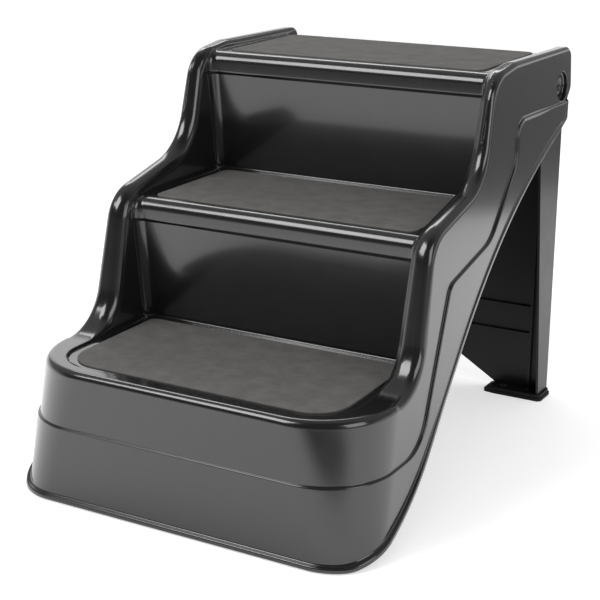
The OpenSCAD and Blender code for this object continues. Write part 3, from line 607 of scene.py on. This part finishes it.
# Ribs below: a square-cornered strip hung from the underside. Its section's corners are a side and a
# depth below the underside, where a negative depth is rooted in the skin
ribSection = [(-1, -size["ribRoot"]), (-1, size["ribHeight"]), (1, size["ribHeight"]), (1, -size["ribRoot"])]
ribHalf = size["ribThickness"] / 2


def ribFaces(rows, facings):
    for first, second, facing in zip(rows, rows[1:], facings):
        shell.grid(np.stack([first, second]), facing)


def lengthRib(x):
    place, normal = undersidePath["points"][1:], undersidePath["normals"][1:]
    rows = [np.column_stack([np.full(len(place), x + side * ribHalf), place - normal * depth])
            for side, depth in ribSection]
    ribFaces(rows, ([-1.0, 0, 0], [0, 0.6, -1.0], [1.0, 0, 0]))
    shell.close([rows[0][-1], rows[3][-1]], [rows[1][-1], rows[2][-1]], [0, 0, -1.0])


def crossRib(y, z, half):
    rows = [np.array([[x, y + side * ribHalf, z - depth] for x in (0.0, half)])
            for side, depth in ribSection]
    ribFaces(rows, ([0, -1.0, 0], [0, 0, -1.0], [0, 1.0, 0]))


lengthRib(size["ribPitch"])
lengthRib(0.0)
for y, z in zip(crossRibY, treadZ):
    crossRib(y, z - skin, stepHalf(y, z) + size["ribRoot"])

# Sockets of the front feet
socket = {"x": (166.95, 55.65), "y": 20.05, "stem": 5.0, "hole": 9.3, "boss": 12.8, "capHole": 3.0,
          "floorZ": 4.5, "mouthZ": 1.5, "topZ": 25.5, "aroundPoints": 41}


# Rings turned about an upright axis, from the pocket's floor out and up round the boss to its top
def footSocket(x0, y0):
    around = np.linspace(0, 2 * np.pi, socket["aroundPoints"])
    radii, heights = (np.array([socket[name] for name in names])[:, None] for names in (
        ("stem", "hole", "hole", "boss", "boss", "capHole"),
        ("floorZ", "floorZ", "mouthZ", "mouthZ", "topZ", "topZ")))
    x, y = x0 + radii * np.cos(around), y0 + radii * np.sin(around)
    rings = np.stack(np.broadcast_arrays(x, y, heights), -1)
    axis, down, up = np.array([x0, y0, 0]), [0, 0, -1.0], [0, 0, 1.0]

    def away(points):
        return (points - axis) * [1, 1, 0]

    for i, facing in enumerate((down, lambda points: -away(points), down, away, up)):
        shell.grid(rings[i:i + 2], facing)


for x in socket["x"]:
    footSocket(x, socket["y"])
stairShell = shell.build("stairShell", plastic)
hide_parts("stair_shell")
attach(stairShell, "stairs")
print("shell built", len(stairShell.data.polygons))


# Mats of the treads: each one's piece, node, tread height, front and rear edge and front radius
mat = {"halfWidth": 189.7, "thickness": 3.0, "pocket": 1.2, "edge": 1.1, "rearRadius": 12.0,
       "leastRadius": 0.5, "rings": (1.0, 12.0, 40.0), "middleHalf": 110.0}
mats = [("matBottom", "tread_mat_bottom", treadZ[0], 50.8, 241.7, 44.7),
        ("matMiddle", "tread_mat_middle", treadZ[1], 253.3, 428.2, 12.0),
        ("matTop", "tread_mat_top", treadZ[2], 439.8, 618.2, 12.0)]


# Ring of a rounded rectangle: each corner's centre plus its radius times the turning direction
def matRing(y0, y1, frontRadius, inset, z, perCorner=12):
    half, y0, y1 = mat["halfWidth"] - inset, y0 + inset, y1 - inset
    rear, front = (max(radius - inset, mat["leastRadius"]) for radius in (mat["rearRadius"], frontRadius))
    corners = [(half - rear, y1 - rear, rear), (-half + rear, y1 - rear, rear),
               (-half + front, y0 + front, front), (half - front, y0 + front, front)]
    arcs = []
    for i, (x, y, radius) in enumerate(corners):
        around = np.linspace(0, np.pi / 2, perCorner) + i * np.pi / 2
        arcs.append(np.column_stack([x + radius * np.cos(around), y + radius * np.sin(around),
                                     np.full(perCorner, z)]))
    ring = np.concatenate(arcs)
    return np.concatenate([ring, ring[:1]])


# A mat's rings draw in towards a short line along its middle, above and below
def treadMat(name, node, level, y0, y1, frontRadius):
    moulding = Moulding()
    edge, low = mat["edge"], level - mat["pocket"]
    high, middle = low + mat["thickness"], np.array([0, (y0 + y1) / 2, level])

    def ring(inset, z):
        return matRing(y0, y1, frontRadius, inset, z)

    def middleLine(outer, z):
        x = np.clip(outer[:, 0], -mat["middleHalf"], mat["middleHalf"])
        return np.column_stack([x, np.full(len(x), middle[1]), np.full(len(x), z)])

    def offMiddle(points):
        return points - middle + [0, 0, 2.0]

    rings = [ring(0.0, low)]
    rings += [ring(edge * (1 - np.cos(q)), high - edge * (1 - np.sin(q))) for q in quarter[::2]]
    rings += [ring(edge + inset, high) for inset in mat["rings"]]
    moulding.grid(np.stack(rings + [middleLine(rings[-1], high)]), offMiddle)
    moulding.grid(np.stack([rings[0], middleLine(rings[0], low)]), [0, 0, -1.0])
    piece = moulding.build(name, matFinish, False)
    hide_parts(node)
    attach(piece, "stairs")


for row in mats:
    treadMat(*row)
print("mats built")

# The leg's rounding and how near points are welded in millimetres, the least turn that is rounded and
# the most that counts as flat in degrees, and the weight of flat faces in its shading
leg = {"edge": 1.4, "segments": 3, "leastTurn": 28.0, "flatTurn": 1.0, "weldWithin": 0.02, "faceWeight": 90}


# The CAD node's copy, its doubles and flat edges merged and its sharp edges rounded by a live bevel
def foldingLeg():
    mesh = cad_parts["rear_leg"].data.copy()
    work = bmesh.new()
    work.from_mesh(mesh)
    bmesh.ops.remove_doubles(work, verts=work.verts, dist=leg["weldWithin"] / 1000.0)
    bmesh.ops.dissolve_limit(work, angle_limit=math.radians(leg["flatTurn"]),
                             verts=work.verts, edges=work.edges)
    work.to_mesh(mesh)
    work.free()
    mesh.materials.clear()
    mesh.materials.append(legPlastic)
    mesh.shade_smooth()
    piece = bpy.data.objects.new("foldingLeg", mesh)
    scene.collection.objects.link(piece)
    bevel = piece.modifiers.new("edges", "BEVEL")
    bevel.width = leg["edge"] / 1000.0
    bevel.segments = leg["segments"]
    bevel.limit_method = "ANGLE"
    bevel.angle_limit = math.radians(leg["leastTurn"])
    weighted = piece.modifiers.new("normals", "WEIGHTED_NORMAL")
    weighted.mode = "FACE_AREA"
    weighted.weight = leg["faceWeight"]
    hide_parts("rear_leg")
    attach(piece, "leg")


foldingLeg()
print("leg built")

# Hinge pins, with x for the shank's inner end and the groove of its clip
pin = {"head": 12.0, "headHeight": 4.0, "domeRadius": 37.0, "edge": 0.9, "dimple": 3.6, "dimpleEdge": 0.5,
       "dimpleDepth": 1.0, "dimpleRise": 0.4, "shank": 5.0, "endX": 207.5, "endEdge": 0.6,
       "groove": 4.0, "grooveFrom": 209.04, "grooveTo": 210.76, "aroundPoints": 65,
       "domeSteps": 8, "edgeFacing": 5.0}


# Rings turned about the hinge's axis, from the dimple out over the dome and in along the shank. The
# dome falls by the square of its ring's radius over twice its own radius
def hingePin(side):
    moulding = Moulding()
    around = np.linspace(0, 2 * np.pi, pin["aroundPoints"])
    head, shank, groove = pin["head"], pin["shank"], pin["groove"]
    edge, endEdge = pin["edge"], pin["endEdge"]
    base, top = hinge["floorX"], hinge["floorX"] + pin["headHeight"]
    domeRings = np.linspace(pin["dimple"] + pin["dimpleEdge"], head - edge, pin["domeSteps"])
    rimX = top - (head - edge) ** 2 / (2 * pin["domeRadius"])

    def turn(radii, places, facing):
        x = np.asarray(places, float)[:, None] + 0 * around
        rings = np.stack([side * x, hinge["y"] + np.outer(radii, np.cos(around)),
                          hinge["z"] + np.outer(radii, np.sin(around))], -1)
        moulding.grid(rings, facing)

    def away(points):
        return offHinge(points, 0.0)

    turn([0, pin["dimple"] - pin["dimpleEdge"], pin["dimple"], *domeRings],
         [*[top - pin["dimpleDepth"]] * 2, top - pin["dimpleDepth"] + pin["dimpleRise"],
          *(top - domeRings ** 2 / (2 * pin["domeRadius"]))], [side, 0, 0])
    turn(head - edge + edge * np.sin(quarter), rimX - edge + edge * np.cos(quarter),
         lambda points: offHinge(points, side * pin["edgeFacing"]))
    turn([head, head], [rimX - edge, base], away)
    turn([head, shank], [base, base], [-side, 0, 0])
    turn([shank, shank], [base, pin["grooveTo"]], away)
    turn([shank, groove], [pin["grooveTo"]] * 2, [-side, 0, 0])
    turn([groove, groove], [pin["grooveTo"], pin["grooveFrom"]], away)
    turn([groove, shank], [pin["grooveFrom"]] * 2, [side, 0, 0])
    turn([shank, shank], [pin["grooveFrom"], pin["endX"] + endEdge], away)
    turn([shank, shank - endEdge, 0], [pin["endX"] + endEdge, pin["endX"], pin["endX"]], [-side, 0, 0])
    return moulding


for name, node, side in (("pinLeft", "hinge_pin_left", -1.0), ("pinRight", "hinge_pin_right", 1.0)):
    piece = hingePin(side).build(name, pinFinish, False)
    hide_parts(node)
    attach(piece, "stairs")
print("pins built")

# Floor, world, lamps and camera: metres, degrees, watts and strengths, where 1 is white. What the
# gloss mirrors is a painted glow on a sweep of floor that turns dark behind the object, with painted
# shade round the object and a painted dark patch below the camera for its stand, a dim room on the
# camera's side, a backdrop that darkens upwards from lowZ to highZ, and a pale card low at the back
# on the left. Directions have a length of one, or are given it
stage = {"floorHalf": 6.0, "floorColour": (0.95, 0.95, 0.95), "floorRough": 0.9, "floorGlow": 0.5,
         "sweepTowards": (0.5, 0.866, 0), "sweepLight": 1.3, "sweepEnd": 1.67, "sweepBlur": 0.12,
         "beyond": 0.2, "shadeReach": 0.7, "shadeSamples": 6,
         # The painted dark patch in reflections below the camera: its place, the distances it fades over and
         # its darkest strength
         "paintedPatchPlace": (0.93, -1.61, 0.0), "paintedPatchNear": 0.5, "paintedPatchFar": 1.1, "paintedPatchDark": 0.08,
         "plainLight": 0.57, "roomTowards": (-0.3, 0.954, 0), "roomFrom": -0.35, "roomTo": 0.15,
         "roomDark": 0.22, "lowZ": 0.05, "highZ": 0.28, "highDark": 0.3,
         "cardTowards": (-0.68, 0.64, 0.33), "cardEdge": 0.955, "cardFull": 0.99, "cardLight": 1.1}
view = {"place": (0.92799, -1.61331, 0.79307), "turn": (72.2774, 0.203, 30.192), "sensor": 36.0,
        "lens": 1479.2 / 600 * 36}
# Each softbox's place, the point it faces, width, height and power
softboxes = {"key": ((-1.2, -1.6, 2.4), (0, 0, 0.25), 1.4, 1.3, 32),
             "back": ((-1.05, 1.6, 2.0), (0, 0.1, 0.45), 2.0, 0.5, 10),
             "fill": ((2.4, -0.8, 1.4), (0, 0, 0.25), 1.2, 1.6, 14)}


# Two sockets joined by a Math node
def joined(tree, operation, first, second):
    node = tree.nodes.new("ShaderNodeMath")
    node.operation = operation
    tree.links.new(first, node.inputs[0])
    tree.links.new(second, node.inputs[1])
    return node.outputs[0]


# A place's distance from a fixed point, or a direction's dot product with a fixed one
def measured(tree, operation, vector, fixed):
    node = tree.nodes.new("ShaderNodeVectorMath")
    node.operation = operation
    node.inputs[1].default_value = fixed
    tree.links.new(vector, node.inputs[0])
    return node.outputs["Value"]


# A smooth step from one strength to another while a value goes from low to high
def smoothStep(tree, value, low, high, first, second):
    node = tree.nodes.new("ShaderNodeMapRange")
    node.interpolation_type = "SMOOTHSTEP"
    for socket, number in (("From Min", low), ("From Max", high), ("To Min", first), ("To Max", second)):
        node.inputs[socket].default_value = number
    tree.links.new(value, node.inputs["Value"])
    return node.outputs["Result"]


# One where a ray of the named kinds looks, nought elsewhere
def seenBy(tree, *kinds):
    path = tree.nodes.new("ShaderNodeLightPath")
    total = path.outputs[kinds[0]]
    for kind in kinds[1:]:
        total = joined(tree, "MAXIMUM", total, path.outputs[kind])
    return total


# The second shader where a ray of the named kinds looks, the first elsewhere
def mixed(tree, kinds, first, second):
    node = tree.nodes.new("ShaderNodeMixShader")
    tree.links.new(seenBy(tree, *kinds), node.inputs[0])
    tree.links.new(first.outputs[0], node.inputs[1])
    tree.links.new(second.outputs[0], node.inputs[2])
    return node.outputs[0]


# Pale floor that the camera sees lit up towards white. In reflections it is a painted glow, the sweep,
# with painted shade round the object and a painted dark patch below the camera in place of its stand
def floorFinish():
    material = bpy.data.materials.new("paleFloor")
    material.use_nodes = True
    tree = material.node_tree
    shader = tree.nodes["Principled BSDF"]
    shader.inputs["Base Color"].default_value = linear(stage["floorColour"])
    shader.inputs["Roughness"].default_value = stage["floorRough"]
    glow = tree.nodes.new("ShaderNodeEmission")
    strength = tree.nodes.new("ShaderNodeMath")
    strength.operation = "MULTIPLY"
    strength.inputs[1].default_value = stage["floorGlow"]
    tree.links.new(seenBy(tree, "Is Camera Ray"), strength.inputs[0])
    tree.links.new(strength.outputs[0], glow.inputs["Strength"])
    lit = tree.nodes.new("ShaderNodeAddShader")
    tree.links.new(shader.outputs[0], lit.inputs[0])
    tree.links.new(glow.outputs[0], lit.inputs[1])
    place = tree.nodes.new("ShaderNodeTexCoord").outputs["Object"]
    sweep = smoothStep(tree, measured(tree, "DOT_PRODUCT", place, stage["sweepTowards"]),
                       stage["sweepEnd"] - stage["sweepBlur"], stage["sweepEnd"] + stage["sweepBlur"],
                       stage["sweepLight"], stage["beyond"])
    # Painted shade: ambient occlusion darkens the reflected glow round the object
    shade = tree.nodes.new("ShaderNodeAmbientOcclusion")
    shade.samples = stage["shadeSamples"]
    shade.inputs["Distance"].default_value = stage["shadeReach"]
    # Painted dark reflection: the glow falls almost to black near the spot below the camera, for its stand
    paintedStandPatch = smoothStep(tree, measured(tree, "DISTANCE", place, stage["paintedPatchPlace"]),
                       stage["paintedPatchNear"], stage["paintedPatchFar"], stage["paintedPatchDark"], 1.0)
    mirrored = tree.nodes.new("ShaderNodeEmission")
    shaded = joined(tree, "MULTIPLY", sweep, shade.outputs["AO"])
    tree.links.new(joined(tree, "MULTIPLY", shaded, paintedStandPatch), mirrored.inputs["Strength"])
    tree.links.new(mixed(tree, ("Is Glossy Ray", "Is Transmission Ray"), lit, mirrored),
                   tree.nodes["Material Output"].inputs["Surface"])
    return material


half = stage["floorHalf"]
floorMesh = bpy.data.meshes.new("floor")
floorMesh.from_pydata([(-half, -half, 0), (half, -half, 0), (half, half, 0), (-half, half, 0)],
                      [], [(0, 1, 2, 3)])
floorMesh.materials.append(floorFinish())
floor = bpy.data.objects.new("floor", floorMesh)
scene.collection.objects.link(floor)

# Plain light for the surfaces, white for the camera, and the room, backdrop and card in reflections
world = bpy.data.worlds.new("studio")
scene.world = world
world.use_nodes = True
tree = world.node_tree
tree.nodes.clear()
plain, seen = (tree.nodes.new("ShaderNodeBackground") for _ in range(2))
for background in (plain, seen):
    background.inputs["Color"].default_value = (1, 1, 1, 1)
plain.inputs["Strength"].default_value = stage["plainLight"]
direction = tree.nodes.new("ShaderNodeTexCoord").outputs["Generated"]
room = smoothStep(tree, measured(tree, "DOT_PRODUCT", direction, stage["roomTowards"]),
                  stage["roomFrom"], stage["roomTo"], stage["roomDark"], 1.0)
parts = tree.nodes.new("ShaderNodeSeparateXYZ")
tree.links.new(direction, parts.inputs[0])
backdrop = smoothStep(tree, parts.outputs["Z"], stage["lowZ"], stage["highZ"], 1.0, stage["highDark"])
card = smoothStep(tree, measured(tree, "DOT_PRODUCT", direction, Vector(stage["cardTowards"]).normalized()),
                  stage["cardEdge"], stage["cardFull"], 0.0, stage["cardLight"])
lit = joined(tree, "MAXIMUM", joined(tree, "MULTIPLY", room, backdrop), card)
tree.links.new(joined(tree, "MAXIMUM", lit, seenBy(tree, "Is Camera Ray")), seen.inputs["Strength"])
output = tree.nodes.new("ShaderNodeOutputWorld")
tree.links.new(mixed(tree, ("Is Camera Ray", "Is Glossy Ray", "Is Transmission Ray"), plain, seen),
               output.inputs["Surface"])

for name, (place, target, width, height, power) in softboxes.items():
    data = bpy.data.lights.new(name, "AREA")
    data.shape = "RECTANGLE"
    data.size, data.size_y = width, height
    data.energy = power
    lamp = bpy.data.objects.new(name, data)
    lamp.location = place
    lamp.rotation_euler = (Vector(target) - Vector(place)).to_track_quat("-Z", "Y").to_euler()
    scene.collection.objects.link(lamp)

cameraData = bpy.data.cameras.new("camera")
cameraData.sensor_width = view["sensor"]
cameraData.lens = view["lens"]
camera = bpy.data.objects.new("camera", cameraData)
camera.location = view["place"]
camera.rotation_euler = [math.radians(turn) for turn in view["turn"]]
scene.collection.objects.link(camera)
scene.camera = camera
scene.view_settings.view_transform = "Standard"
print("stage set")
